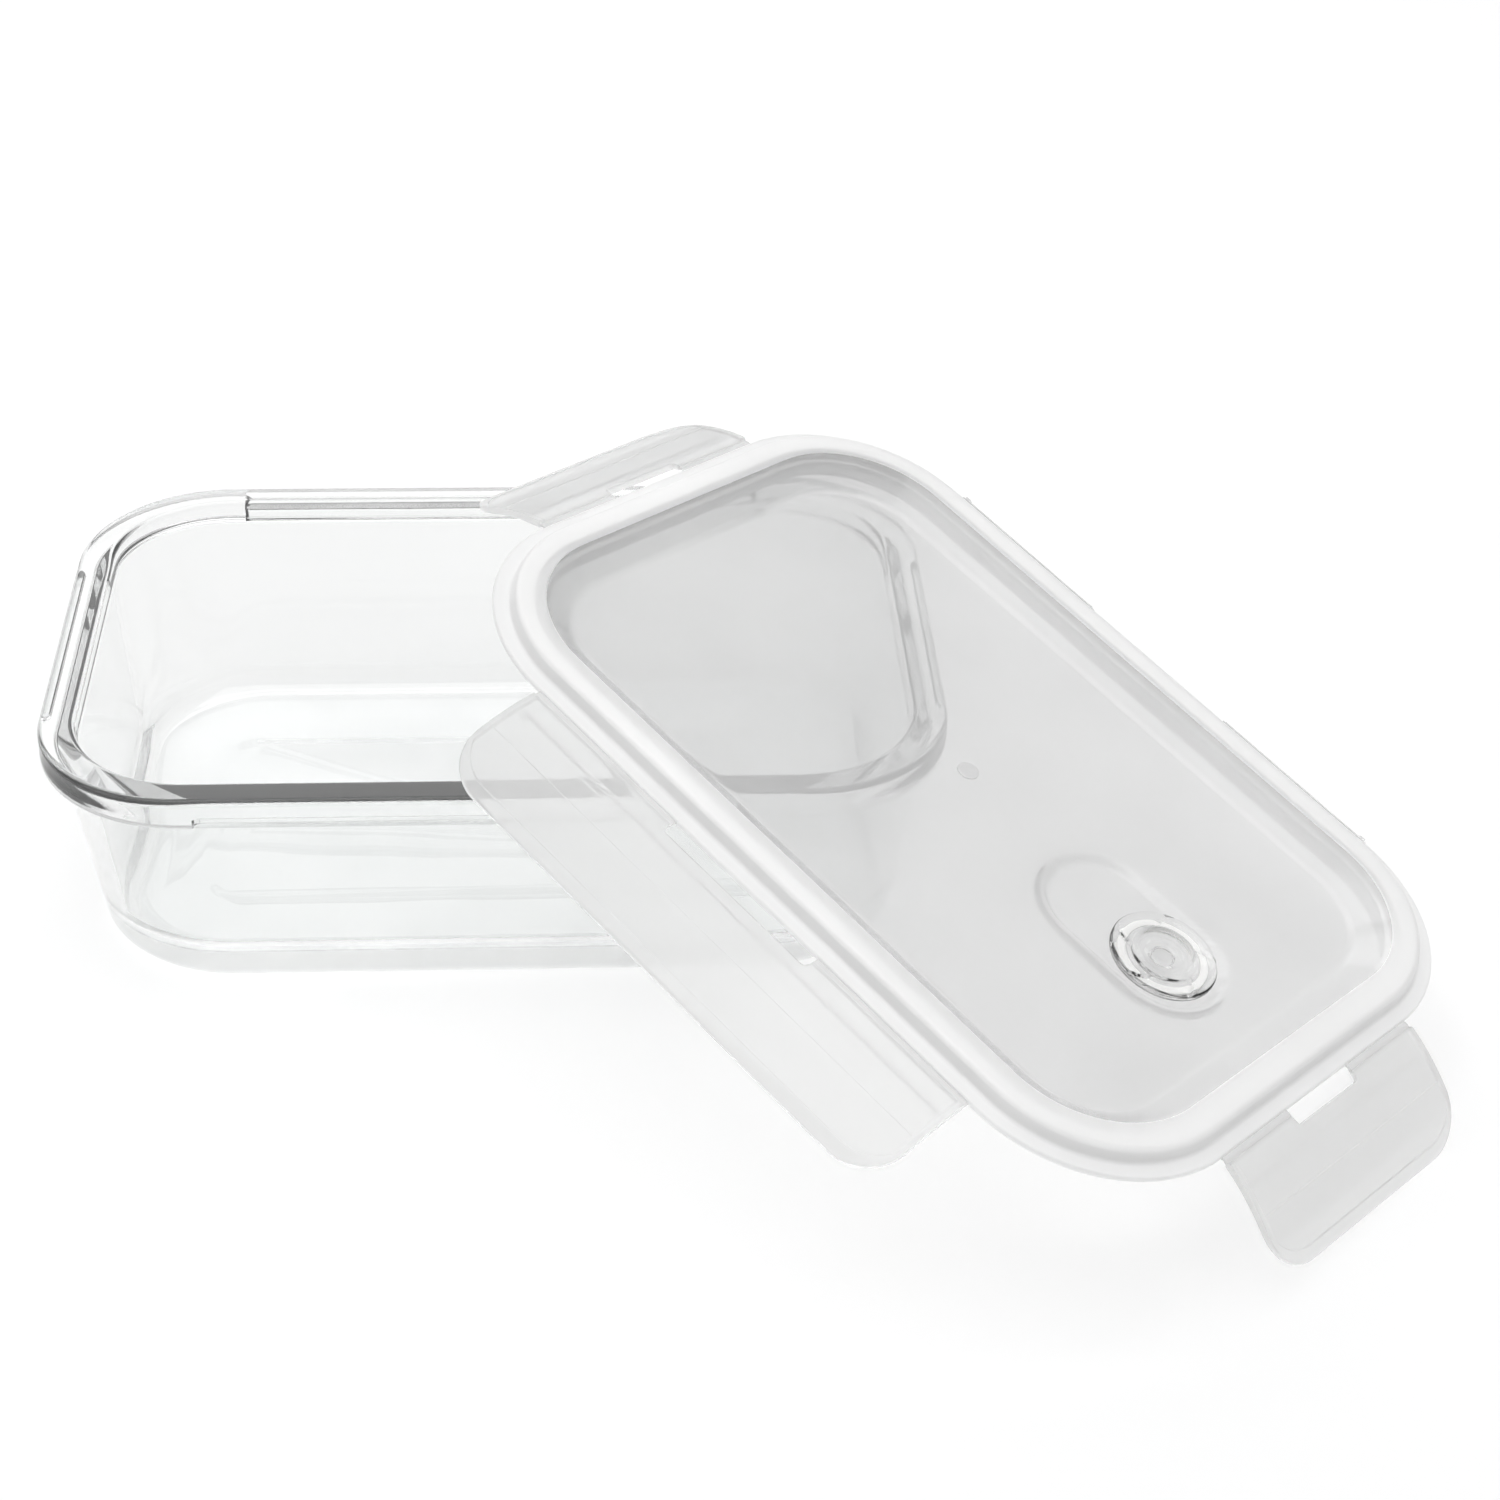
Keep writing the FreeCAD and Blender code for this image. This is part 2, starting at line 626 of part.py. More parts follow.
def make_slot(body, slot):
    """Open slot in the middle of the flap's root, with rounded inner corners."""
    d = DIMENSIONS
    sketch = new_sketch(body, "slot_outline")
    half_x = d["slot_reach"]
    half_y = d[slot] / 2
    radius = d["slot_reach"] / 2
    centres = [(half_x - radius, half_y - radius, 0), (half_x - radius, -half_y + radius, -90)]
    up = FreeCAD.Vector(0, 0, 1)
    for x, y, angle in centres:
        circle = Part.Circle(FreeCAD.Vector(x, y, 0), up, radius)
        start = math.radians(angle)
        sketch.addGeometry(Part.ArcOfCircle(circle, start, start + math.pi / 2), False)
    points = [
        ((half_x, -half_y + radius), (half_x, half_y - radius)),
        ((half_x - radius, half_y), (-half_x, half_y)),
        ((-half_x, half_y), (-half_x, -half_y)),
        ((-half_x, -half_y), (half_x - radius, -half_y)),
    ]
    for start, end in points:
        line = Part.LineSegment(FreeCAD.Vector(*start, 0), FreeCAD.Vector(*end, 0))
        sketch.addGeometry(line, False)
    for first, second in ((1, 2), (2, 0), (0, 3), (5, 1)):
        sketch.addConstraint(Sketcher.Constraint("Tangent", first, 2, second, 1))
    for first, second in ((3, 4), (4, 5)):
        sketch.addConstraint(Sketcher.Constraint("Coincident", first, 2, second, 1))
    sketch.addConstraint(Sketcher.Constraint("Vertical", 2))
    sketch.addConstraint(Sketcher.Constraint("Horizontal", 3))
    sketch.addConstraint(Sketcher.Constraint("Horizontal", 5))
    sketch.addConstraint(Sketcher.Constraint("Equal", 0, 1))
    sketch.addConstraint(Sketcher.Constraint("Symmetric", 4, 1, 4, 2, -1))
    constraint = Sketcher.Constraint("Radius", 0, radius)
    bind(sketch, constraint, ref("slot_reach") + " / 2", "corner")
    constraint = Sketcher.Constraint("DistanceX", 4, 1, 2, 1, 2 * half_x)
    bind(sketch, constraint, "2 * " + ref("slot_reach"), "across")
    constraint = Sketcher.Constraint("DistanceX", -1, 1, 2, 1, half_x)
    bind(sketch, constraint, ref("slot_reach"), "reach")
    constraint = Sketcher.Constraint("DistanceY", 4, 2, 4, 1, 2 * half_y)
    bind(sketch, constraint, ref(slot), "length")
    above = "%s + 2 * %s" % (BEND_RADIUS, ref("flap_thickness"))
    sketch.setExpression("AttachmentOffset.Base.z", above)
    cut(body, sketch, "4 * " + ref("flap_thickness"), "slot")


def make_webs(side, flap, slot):
    """The two thin strips either side of the slot that the flap bends on."""
    strips = []
    for sign, tag in ((1, "a"), (-1, "b")):
        strip = doc.addObject("Part::Box", "hinge_strip_%s_%s" % (side, tag))
        length = "(%s - %s) / 2" % (ref(flap), ref(slot))
        strip.setExpression("Length", "%s + %s" % (ref("hinge_stand_off"), ref("web_reach")))
        strip.setExpression("Width", length)
        strip.setExpression("Height", ref("web_thickness"))
        strip.setExpression("Placement.Base.x", "-" + ref("hinge_stand_off"))
        edge = "%s / 2" % ref(slot) if sign > 0 else "-%s / 2" % ref(flap)
        strip.setExpression("Placement.Base.y", edge)
        strip.setExpression("Placement.Base.z", "-%s / 2" % ref("web_thickness"))
        strips.append(strip)
    webs = doc.addObject("Part::Compound", "hinge_webs_" + side)
    webs.Label = "hinge_webs_" + side
    webs.Links = strips
    return webs


def make_vent_plug():
    """Clear press-in vent plug: notched disc with a raised crown, stem and snap barb."""
    body = new_body("vent_plug")
    barb = new_sketch(body, "barb_outline", height="barb_top")
    draw_circle(barb, "plug_barb")
    pad(body, barb, ref("barb_height"), "barb").Reversed = True
    layers = [
        ("stem", "plug_stem", "barb_top", "plug_underside"),
        ("disc", "plug_diameter", "plug_underside", "plug_top"),
        ("crown", "crown_diameter", "plug_top", "crown_top"),
    ]
    for name, diameter, base, top in layers:
        sketch = new_sketch(body, name + "_outline", height=base)
        draw_circle(sketch, diameter)
        pad(body, sketch, "%s - %s" % (ref(top), ref(base)), name)
    dimple = new_sketch(body, "dimple_outline", height="crown_top")
    draw_circle(dimple, "dimple_diameter")
    cut(body, dimple, ref("dimple_depth"), "dimple")
    make_notches(body)
    return body


def make_notches(body):
    """Short radial notches spaced evenly round the disc's edge."""
    d = DIMENSIONS
    sketch = new_sketch(body, "notch_outline", height="plug_top")
    half = d["notch_width"] / 2
    inner = d["plug_diameter"] / 2 - d["notch_length"] / 2
    outer = d["plug_diameter"] / 2 + d["notch_length"] / 2
    draw_block(
        sketch,
        ref("notch_width"),
        "(%s - %s) / 2" % (ref("plug_diameter"), ref("notch_length")),
        "(%s + %s) / 2" % (ref("plug_diameter"), ref("notch_length")),
        (2 * half, inner, outer),
    )
    notch = cut(body, sketch, ref("notch_depth"), "notch")
    before = body.Shape.Volume
    pattern = body.newObject("PartDesign::PolarPattern", "notches")
    pattern.Originals = [notch]
    pattern.Axis = (sketch, ["N_Axis"])
    pattern.Angle = 360
    pattern.setExpression("Occurrences", ref("notch_count"))
    body.Tip = pattern
    doc.recompute()
    if not body.Shape.Volume < before:
        raise RuntimeError("notches cut nothing")


def make_vent_seal():
    """Silicone ring under the vent plug's disc."""
    body = new_body("vent_seal")
    sketch = new_sketch(body, "seal_outline")
    sketch.setExpression(
        "AttachmentOffset.Base.z", "%s + %s" % (ref("hollow_floor"), ref("seal_gap"))
    )
    draw_circle(sketch, "seal_outer", "outer")
    draw_circle(sketch, "seal_inner", "inner")
    height = "%s - %s - %s" % (ref("plug_underside"), ref("hollow_floor"), ref("seal_gap"))
    pad(body, sketch, height, "seal_ring")
    return body


def lean():
    """Where the lid's own frame stands while it leans on the bowl."""
    d = DIMENSIONS
    position = FreeCAD.Vector(d["lean_x"], d["lean_y"], d["lean_z"])
    rotation = FreeCAD.Rotation(d["lean_turn"], d["lean_slope"], d["lean_bank"])
    return FreeCAD.Placement(position, rotation)


def hinge_place(side):
    """Frame of one flap's hinge in the lid: X out from the lid, Y along the hinge axis."""
    d = DIMENSIONS
    across = d["lid_length"] if side in ("left", "right") else d["lid_width"]
    distance = across / 2 + d["hinge_stand_off"]
    turn = FreeCAD.Rotation(FreeCAD.Vector(0, 0, 1), FLAP_TURN[side])
    position = turn.multVec(FreeCAD.Vector(distance, 0, 0))
    position.z = d["hinge_height"]
    return FreeCAD.Placement(position, turn)


def flap_place(side):
    """Flap's frame, whose origin is its centre of curvature, once it has dropped on its hinge."""
    drop = FreeCAD.Rotation(FreeCAD.Vector(0, 1, 0), FLAP_DROP[side])
    to_root = FreeCAD.Vector(DIMENSIONS["flap_root_gap"], 0, -bend_radius())
    swing = FreeCAD.Placement(FreeCAD.Vector(), drop)
    return hinge_place(side) * swing * FreeCAD.Placement(to_root, FreeCAD.Rotation())


def vent_place():
    return FreeCAD.Placement(
        FreeCAD.Vector(DIMENSIONS["vent_offset"], 0, 0), FreeCAD.Rotation()
    )


def build():
    """Makes every piece, then leans the lid and all it carries on the bowl."""
    make_sheet()
    pieces = [make_glass()]
    leaning = [
        (make_lid_rim(), FreeCAD.Placement()),
        (make_lid_panel(), FreeCAD.Placement()),
        (make_gasket(), FreeCAD.Placement()),
        (make_vent_plug(), vent_place()),
        (make_vent_seal(), vent_place()),
    ]
    for side in FLAP_DROP:
        kind = "short" if side in ("left", "right") else "long"
        sizes = ("flap_" + kind, "slot_" + kind)
        leaning.append((make_flap(side, *sizes), flap_place(side)))
        leaning.append((make_webs(side, *sizes), hinge_place(side)))
    doc.recompute()
    for piece, place in leaning:
        piece.Placement = lean() * place
        pieces.append(piece)
    doc.recompute()
    return pieces


def check(pieces):
    """Stops before anything is written if any object or shape is broken."""
    for item in doc.Objects:
        if "Invalid" in item.State or "Error" in item.State:
            raise RuntimeError("%s failed: %s" % (item.Name, item.State))
    for piece in pieces:
        if piece.Shape.isNull() or not piece.Shape.isValid():
            raise RuntimeError("%s has a bad shape" % piece.Label)


def export(pieces):
    os.makedirs("parts", exist_ok=True)
    for piece in pieces:
        piece.Shape.exportStep("parts/%s.step" % piece.Label)


pieces = build()
check(pieces)
export(pieces)
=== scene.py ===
"""Clear glass food container with its frosted snap lid leaning on it.

Lengths are in millimetres until a mesh is made, and the studio's are in metres. The bowl's sizes hang on its
packed box, and the lid's frame and its flaps' angles on the record's joints.
"""
import json
import math

import bmesh
import bpy
from mathutils import Matrix, Vector


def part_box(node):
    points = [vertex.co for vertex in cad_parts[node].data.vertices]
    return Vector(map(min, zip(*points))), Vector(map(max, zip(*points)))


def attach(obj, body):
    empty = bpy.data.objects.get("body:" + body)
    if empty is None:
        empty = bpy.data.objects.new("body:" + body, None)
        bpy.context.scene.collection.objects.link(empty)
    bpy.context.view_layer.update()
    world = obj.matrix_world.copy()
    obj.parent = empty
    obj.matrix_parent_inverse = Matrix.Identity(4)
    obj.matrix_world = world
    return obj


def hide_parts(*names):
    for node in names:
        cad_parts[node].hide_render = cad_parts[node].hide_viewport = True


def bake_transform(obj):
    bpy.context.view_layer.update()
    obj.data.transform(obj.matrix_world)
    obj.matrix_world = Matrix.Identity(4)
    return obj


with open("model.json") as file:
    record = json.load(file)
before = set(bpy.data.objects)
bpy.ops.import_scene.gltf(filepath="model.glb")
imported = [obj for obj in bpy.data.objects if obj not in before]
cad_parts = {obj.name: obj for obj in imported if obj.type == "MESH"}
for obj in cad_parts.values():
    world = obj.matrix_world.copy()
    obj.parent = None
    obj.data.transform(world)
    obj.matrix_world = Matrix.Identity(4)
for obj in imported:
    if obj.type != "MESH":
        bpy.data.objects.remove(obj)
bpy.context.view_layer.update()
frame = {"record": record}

MM = 0.001
JOINTS = {joint["name"]: joint for joint in frame["record"]["behaviour"]["joints"]}

# ---------------------------------------------------------------- lengths

# the bowl: an inset is how far inside the flange's outline something lies
GLASS_CORNER = 35.0
FOOT_CORNER = 43.0
FOOT_INSET = 10.0
FOOT_ROUND = 5.0
FOOT_FACE_INSET = 60.0
FOOT_LEVEL = 0.05
FLANGE_DEPTH = 7.1
FLANGE_OVERHANG = 4.2
FLANGE_ROOT_ROUND = 1.2
FLANGE_EDGE_ROUND = 0.6
RIM_ROUND = 1.6
MOUTH_INSET = 8.2
FLOOR_INSET = 13.6
FLOOR_LEVEL = 5.0
FLOOR_ROUND = 9.0
FLOOR_ROUND_RUN_OUT = 3.0

# the panel pressed into the bowl's floor: half length, half width and corner, then its sloping edge as steps
# outwards and how far each has sunk
FLOOR_PANEL = (67.0, 31.0, 8.0)
FLOOR_PANEL_STEP = 0.8
FLOOR_PANEL_END_RUN = 4.0
FLOOR_PANEL_EDGE = ((1.4, 0.0), (0.9, 0.08), (0.3, 0.52), (-0.3, FLOOR_PANEL_STEP))

# the latch recesses under the flange: half lengths on the short and the long sides, and the rounded upper
# edge as heights past the recess's roof with the share of its depth left there
CATCH_HALF = (33.0, 65.2)
CATCH_DEPTH = 2.0
CATCH_LIP = 4.6
CATCH_EDGE = ((-0.7, 1.0), (-0.2, 0.85), (0.0, 0.12), (0.25, 0.0))

# the lid, in its own frame: insets from its outline, and heights along its normal
LID_HALF = (104.0, 72.0)
LID_CORNER = 38.0
LIP_BOTTOM = 0.2
LIP_TOP = 1.6
BEAD_TOP = 5.2
BEAD_FOOT_INSET = 3.6
BEAD_INSET = 4.4
CHANNEL_INSETS = (5.0, 9.0)
CHANNEL_ROOF = 3.8
RIB_INSETS = (10.2, 11.6)
RIB_ROOT = 3.13
TRAY_TOP_INSET = 11.0
TRAY_FLOOR_INSET = 18.5
TRAY_FLOOR = -0.6
TRAY_UNDERSIDE = -2.2
TRAY_UNDER_INSET = 17.0
TRAY_ROUND_RUN_OUT = 4.5
TRAY_GRID_START = 5.0
BEAD_BORDER = 0.3

# the finger hollow beside the vent, and the round mark left by the mould's gate
HOLLOW_CENTRE = 52.5
HOLLOW_HALF_RUN = 9.5
HOLLOW_RADIUS = 14.0
HOLLOW_DEPTH = 1.4
HOLLOW_WALL = 1.6
HOLLOW_SLOPE = 1.9
GATE_MARK_AT = 2.0
GATE_MARK = [(0.0, -0.9), (2.5, -0.9), (2.5, -0.4), (2.3, -0.3), (1.6, -0.32), (0.9, -0.42), (0.0, -0.4)]

# the latch flaps: lengths out from the hinge, and half widths on the long and the short sides
FLAP_LENGTH = 27.0
FLAP_HALF_THICKNESS = 0.65
FLAP_BEND = math.radians(30.0)
FLAP_CORNER = 11.0
FLAP_ROOT_GAP = 1.0
FLAP_RIM = 0.4
FLAP_RIM_WIDTH = 3.4
FLAP_SIDE_RIM_WIDTH = 1.5
FLAP_CREASE = 13.0
FLAP_CREASE_STEP = 0.16
FLAP_RIM_BLEND = 0.25
FLAP_CREASE_BLEND = 0.12
FLAP_EDGE_ROUND = 0.45
FLAP_BORDER_IN = 0.13
FLAP_BORDER_DOWN = 0.15
FLAP_SIDE_TRIM = 0.02
FLAP_SIDE_MARK = 2.5
FLAP_HALF = {"long": 64.8, "short": 34.6}
SLOT_HALF = {"long": 21.5, "short": 11.3}
SLOT_REACH = 2.4
SLOT_CORNER = 1.2
HOOK_SPAN = (4.5, 6.5)
HOOK_MARGIN = 0.9
HOOK_HEIGHT = 2.0
HOOK_SLOPE_OUT = 0.3
HOOK_SLOPE_IN = 0.4
HOOK_END_SLOPE = 0.6
HOOK_END_GAP = 3.0
FLAP_RAISED_LIMIT = 30.0
HINGE_STAND_OFF = 0.5
HINGE_HEIGHT = 0.9
WEB_HALF_THICKNESS = 0.25
WEB_OVERLAP_LID = 0.5
WEB_OVERLAP_FLAP = 0.6
WEB_THINNING = 0.35
WEB_THIN_REACH = 0.4
SIDES = {"right": 0.0, "back": 90.0, "left": 180.0, "front": 270.0}

# the vent: its place along the lid, then the plug as (radius, height) points for the stem with its snap barb,
# the disc, the scalloped ring and the crown
VENT_OFFSET = 61.0
VENT_STEM = [
    (0.0, -6.8), (2.4, -6.8), (3.0, -6.5), (3.6, -6.0), (3.6, -5.6), (2.6, -5.1), (2.6, -1.6), (2.9, -1.1),
]
VENT_DISC = [(8.0, -1.1), (11.9, -1.1), (12.3, -0.8), (12.3, -0.2), (12.1, 0.12)]
VENT_SCALLOPED_RING = [
    (11.8, 0.22), (11.2, 0.24), (10.6, 0.16), (10.1, 0.04), (9.6, -0.04), (9.0, -0.06),
    (8.5, -0.02), (8.1, 0.1),
]
VENT_CROWN = [
    (7.8, 0.4), (7.5, 0.72), (7.2, 0.8), (6.6, 0.8), (6.3, 0.62), (6.0, 0.4), (5.4, 0.38), (4.6, 0.38),
    (4.3, 0.5), (4.0, 0.66), (3.7, 0.7), (3.1, 0.7), (2.8, 0.6), (2.4, 0.42), (2.0, 0.34), (1.2, 0.24),
    (0.0, 0.2),
]

# the petals of the scalloped ring: how many, the radii they lie between and fade at, and the grooves between
# them, with a swirl in radians per millimetre, a depth, and a width given as a sine
PETALS = 5
PETAL_BAND = (8.0, 12.2)
PETAL_FADE_IN = 8.8
PETAL_FADE_OUT = (11.2, 12.1)
PETAL_LEAN = 0.10
PETAL_GROOVE_DEPTH = 0.6
PETAL_GROOVE_WIDTH = 0.22

# the silicone seal under the plug, and the gasket in the lid's channel
SEAL_RADII = (8.5, 10.5)
SEAL_HEIGHTS = (-1.9, -1.15)
SEAL_ROUND = 0.15
GASKET_CLEARANCE = 0.1
GASKET_HEIGHTS = (-0.3, 3.7)
GASKET_SEAM = (1.5, 1.2)
GASKET_FACE_ROUND = 1.2
GASKET_ROOT_ROUND = 0.4

# ---------------------------------------------------------------- small geometry


def smooth_step(value, low, high):
    """0 below low, 1 above high, with a smooth rise between."""
    share = min(max((value - low) / (high - low), 0.0), 1.0)
    return share * share * (3.0 - 2.0 * share)


def rounded_path(corners, steps=6):
    """Open line through (x, z, radius) corners, each rounded by an arc of its radius."""
    points = []
    for i, (x, z, radius) in enumerate(corners):
        here = Vector((x, z))
        if radius == 0.0:
            points.append(here)
            continue
        before = (Vector(corners[i - 1][:2]) - here).normalized()
        after = (Vector(corners[i + 1][:2]) - here).normalized()
        half_angle = before.angle(after) / 2
        middle = (before + after).normalized()
        centre = here + middle * (radius / math.sin(half_angle))
        start = here + before * (radius / math.tan(half_angle)) - centre
        end = here + after * (radius / math.tan(half_angle)) - centre
        turn = start.angle_signed(end)
        for step in range(steps + 1):
            angle = -turn * step / steps
            spun = Matrix.Rotation(angle, 2) @ start
            points.append(centre + spun)
    return points


def stations(half, marks, spacing, reach=2.0, fine=6):
    """Places from -half to half: even ones, and closer ones round each mark and its mirror."""
    places = {round(-half + 2 * half * i / round(2 * half / spacing), 4)
              for i in range(round(2 * half / spacing) + 1)}
    for mark in marks:
        for i in range(-fine, fine + 1):
            near = mark + reach * i / fine
            if abs(near) < half:
                places |= {round(near, 4), round(-near, 4)}
    ordered = sorted(places)
    kept = ordered[:1]
    for place in ordered[1:]:
        if place - kept[-1] > 0.12:
            kept.append(place)
    kept[-1] = half
    return kept


def catch_depth(place, half):
    """Depth of the latch recess at one place along a side, with round ends."""
    past = abs(place) - (half - CATCH_DEPTH)
    if past <= 0.0:
        return CATCH_DEPTH
    if past >= CATCH_DEPTH:
        return 0.0
    return math.sqrt(CATCH_DEPTH**2 - past**2)


def ring(half_x, half_y, corner, height, shares, catch=0.0, arc_steps=20):
    """Points round a rounded rectangle, starting on its right side, with the recesses if asked."""
    points = []
    for quarter in range(4):
        angle = quarter * math.pi / 2
        out = Vector((math.cos(angle), math.sin(angle)))
        along = Vector((-out.y, out.x))
        reach, run = (half_x, half_y - corner) if quarter % 2 == 0 else (half_y, half_x - corner)
        for share in shares[quarter % 2]:
            depth = catch * catch_depth(share * run, CATCH_HALF[quarter % 2]) if catch else 0.0
            points.append(out * (reach - depth) + along * (share * run))
        middle = out * (reach - corner) + along * run
        for step in range(1, arc_steps):
            turn = angle + math.pi / 2 * step / arc_steps
            points.append(middle + corner * Vector((math.cos(turn), math.sin(turn))))
    return [Vector((point.x, point.y, height)) for point in points]


def skin(name, rings, place=Matrix.Identity(4), looped=False, sharp=40.0, capped=True):
    """Mesh through rings of equal length, closed back on itself, by end caps or by end rings that meet."""
    mesh = bmesh.new()
    rows = [[mesh.verts.new(place @ (point * MM)) for point in points] for points in rings]
    pairs = list(zip(rows, rows[1:]))
    if looped:
        pairs.append((rows[-1], rows[0]))
    count = len(rows[0])
    for lower, upper in pairs:
        for i in range(count):
            j = (i + 1) % count
            mesh.faces.new((lower[i], lower[j], upper[j], upper[i]))
    if capped and not looped:
        mesh.faces.new(list(reversed(rows[0])))
        mesh.faces.new(rows[-1])
    return finish_mesh(name, mesh, sharp)


def finish_mesh(name, mesh, sharp=40.0):
    """Turns a bmesh into an object with outward faces and smooth shading between its edges."""
    bmesh.ops.remove_doubles(mesh, verts=mesh.verts, dist=1e-6)
    bmesh.ops.recalc_face_normals(mesh, faces=mesh.faces)
    data = bpy.data.meshes.new(name)
    mesh.to_mesh(data)
    mesh.free()
    data.shade_smooth()
    data.set_sharp_from_angle(angle=math.radians(sharp))
    piece = bpy.data.objects.new(name, data)
    bpy.context.scene.collection.objects.link(piece)
    return piece


def lathe(name, profile, place, steps=96, shape=None):
    """Closed solid of revolution about Z. The profile runs from the axis and back to it."""
    rings = []
    for radius, height in profile:
        points = []
        for step in range(steps):
            turn = 2 * math.pi * step / steps
            rise = shape(radius, turn, height) if shape else 0.0
            points.append(Vector((radius * math.cos(turn), radius * math.sin(turn), height + rise)))
        rings.append(points)
    return skin(name, rings, place)


# ---------------------------------------------------------------- materials

NOISE_MIDDLE = (0.3, 0.7)
GLASS_SHADOW = (0.985, 0.988, 0.987, 1)


def node_of(tree, kind, **values):
    """Adds a node and sets its named sockets, or its own settings where the name is one."""
    node = tree.nodes.new(kind)
    for key, value in values.items():
        if hasattr(node, key):
            setattr(node, key, value)
        else:
            node.inputs[key.replace("_", " ")].default_value = value
    return node


def new_material(name, **values):
    """Material with one Principled shader. Returns it with its tree, shader and output."""
    material = bpy.data.materials.new(name)
    material.use_nodes = True
    tree = material.node_tree
    shader = tree.nodes["Principled BSDF"]
    for key, value in values.items():
        shader.inputs[key.replace("_", " ")].default_value = value
    return material, tree, shader, tree.nodes["Material Output"]


def grey(tone):
    """Opaque neutral colour."""
    return (tone, tone, tone, 1)


def noise_map(tree, scale, low, high, detail=3.0):
    """Noise in object space, its middle stretched to a range of values."""
    place = node_of(tree, "ShaderNodeTexCoord")
    cloud = node_of(tree, "ShaderNodeTexNoise", Scale=scale, Detail=detail)
    spread = node_of(tree, "ShaderNodeMapRange")
    values = zip(("From Min", "From Max", "To Min", "To Max"), (*NOISE_MIDDLE, low, high))
    for socket, value in values:
        spread.inputs[socket].default_value = value
    tree.links.new(place.outputs["Object"], cloud.inputs["Vector"])
    tree.links.new(cloud.outputs["Fac"], spread.inputs["Value"])
    return spread.outputs["Result"]


def add_bump(tree, shader, scale, distance, strength=1.0, detail=3.0):
    """Fine relief on the surface."""
    height = noise_map(tree, scale, 0.0, 1.0, detail)
    bump = node_of(tree, "ShaderNodeBump", Strength=strength, Distance=distance)
    tree.links.new(height, bump.inputs["Height"])
    tree.links.new(bump.outputs["Normal"], shader.inputs["Normal"])


def add_tint(tree, shader, scale, dark, light):
    """Slight colour variation between two tones."""
    cloud = noise_map(tree, scale, 0.0, 1.0)
    mix = node_of(tree, "ShaderNodeMix", data_type="RGBA")
    mix.inputs[6].default_value = dark
    mix.inputs[7].default_value = light
    tree.links.new(cloud, mix.inputs[0])
    tree.links.new(mix.outputs[2], shader.inputs["Base Color"])


def let_lamps_through(tree, shader, output, tint):
    """Lamps shine through clear material instead of casting a solid shadow."""
    path = node_of(tree, "ShaderNodeLightPath")
    clear = node_of(tree, "ShaderNodeBsdfTransparent", Color=tint)
    mix = node_of(tree, "ShaderNodeMixShader")
    tree.links.new(path.outputs["Is Shadow Ray"], mix.inputs[0])
    tree.links.new(shader.outputs[0], mix.inputs[1])
    tree.links.new(clear.outputs[0], mix.inputs[2])
    tree.links.new(mix.outputs[0], output.inputs["Surface"])


def glass_material():
    """Pressed soda glass: clear, with a trace of scatter and the slow ripple of its mould."""
    material, tree, shader, output = new_material(
        "pressed_glass", Transmission_Weight=0.972, IOR=1.5
    )
    add_tint(tree, shader, 9.0, (0.897, 0.904, 0.902, 1), (0.925, 0.930, 0.928, 1))
    tree.links.new(noise_map(tree, scale=30.0, low=0.0, high=0.02), shader.inputs["Roughness"])
    add_bump(tree, shader, scale=22.0, distance=0.0003, strength=0.35, detail=1.0)
    let_lamps_through(tree, shader, output, GLASS_SHADOW)
    return material


def stippled_glass_material():
    """The bowl's foot: glass with the fine stipple of its mould and the scuffs of use."""
    material, tree, shader, output = new_material(
        "stippled_foot", Transmission_Weight=0.58, IOR=1.5
    )
    add_tint(tree, shader, 40.0, (0.80, 0.81, 0.81, 1), (0.86, 0.865, 0.865, 1))
    tree.links.new(noise_map(tree, scale=60.0, low=0.38, high=0.50), shader.inputs["Roughness"])
    add_bump(tree, shader, scale=700.0, distance=0.00001, strength=0.1)
    let_lamps_through(tree, shader, output, GLASS_SHADOW)
    return material


def frosted_material(name, clearness, glow, tones, roughness):
    """Translucent polypropylene: some light goes straight through, some glows through, some scatters."""
    material, tree, shader, output = new_material(
        name, IOR=1.49, Transmission_Weight=clearness
    )
    add_tint(tree, shader, 14.0, *map(grey, tones))
    tree.links.new(noise_map(tree, 60.0, *roughness), shader.inputs["Roughness"])
    add_bump(tree, shader, scale=120.0, distance=0.00004, strength=0.25)
    through = node_of(tree, "ShaderNodeBsdfTranslucent", Color=grey(0.97))
    mix = node_of(tree, "ShaderNodeMixShader")
    mix.inputs[0].default_value = glow
    tree.links.new(shader.outputs[0], mix.inputs[1])
    tree.links.new(through.outputs[0], mix.inputs[2])
    let_lamps_through(tree, mix, output, grey(0.97))
    return material


def silicone_material():
    """Soft milky silicone."""
    material, tree, shader, _ = new_material("milky_silicone", IOR=1.41)
    add_tint(tree, shader, 30.0, (0.86, 0.86, 0.85, 1), (0.92, 0.92, 0.91, 1))
    tree.links.new(noise_map(tree, scale=90.0, low=0.45, high=0.60), shader.inputs["Roughness"])
    add_bump(tree, shader, scale=1200.0, distance=0.00002, strength=0.3)
    return material


def clear_plastic_material():
    """Clear glossy plastic of the vent plug."""
    material, tree, shader, output = new_material(
        "clear_plastic", Transmission_Weight=1.0, IOR=1.46
    )
    add_tint(tree, shader, 60.0, grey(0.955), grey(0.985))
    tree.links.new(noise_map(tree, scale=200.0, low=0.02, high=0.08), shader.inputs["Roughness"])
    add_bump(tree, shader, scale=150.0, distance=0.00006, strength=0.3)
    let_lamps_through(tree, shader, output, grey(0.93))
    return material


# ---------------------------------------------------------------- glass bowl


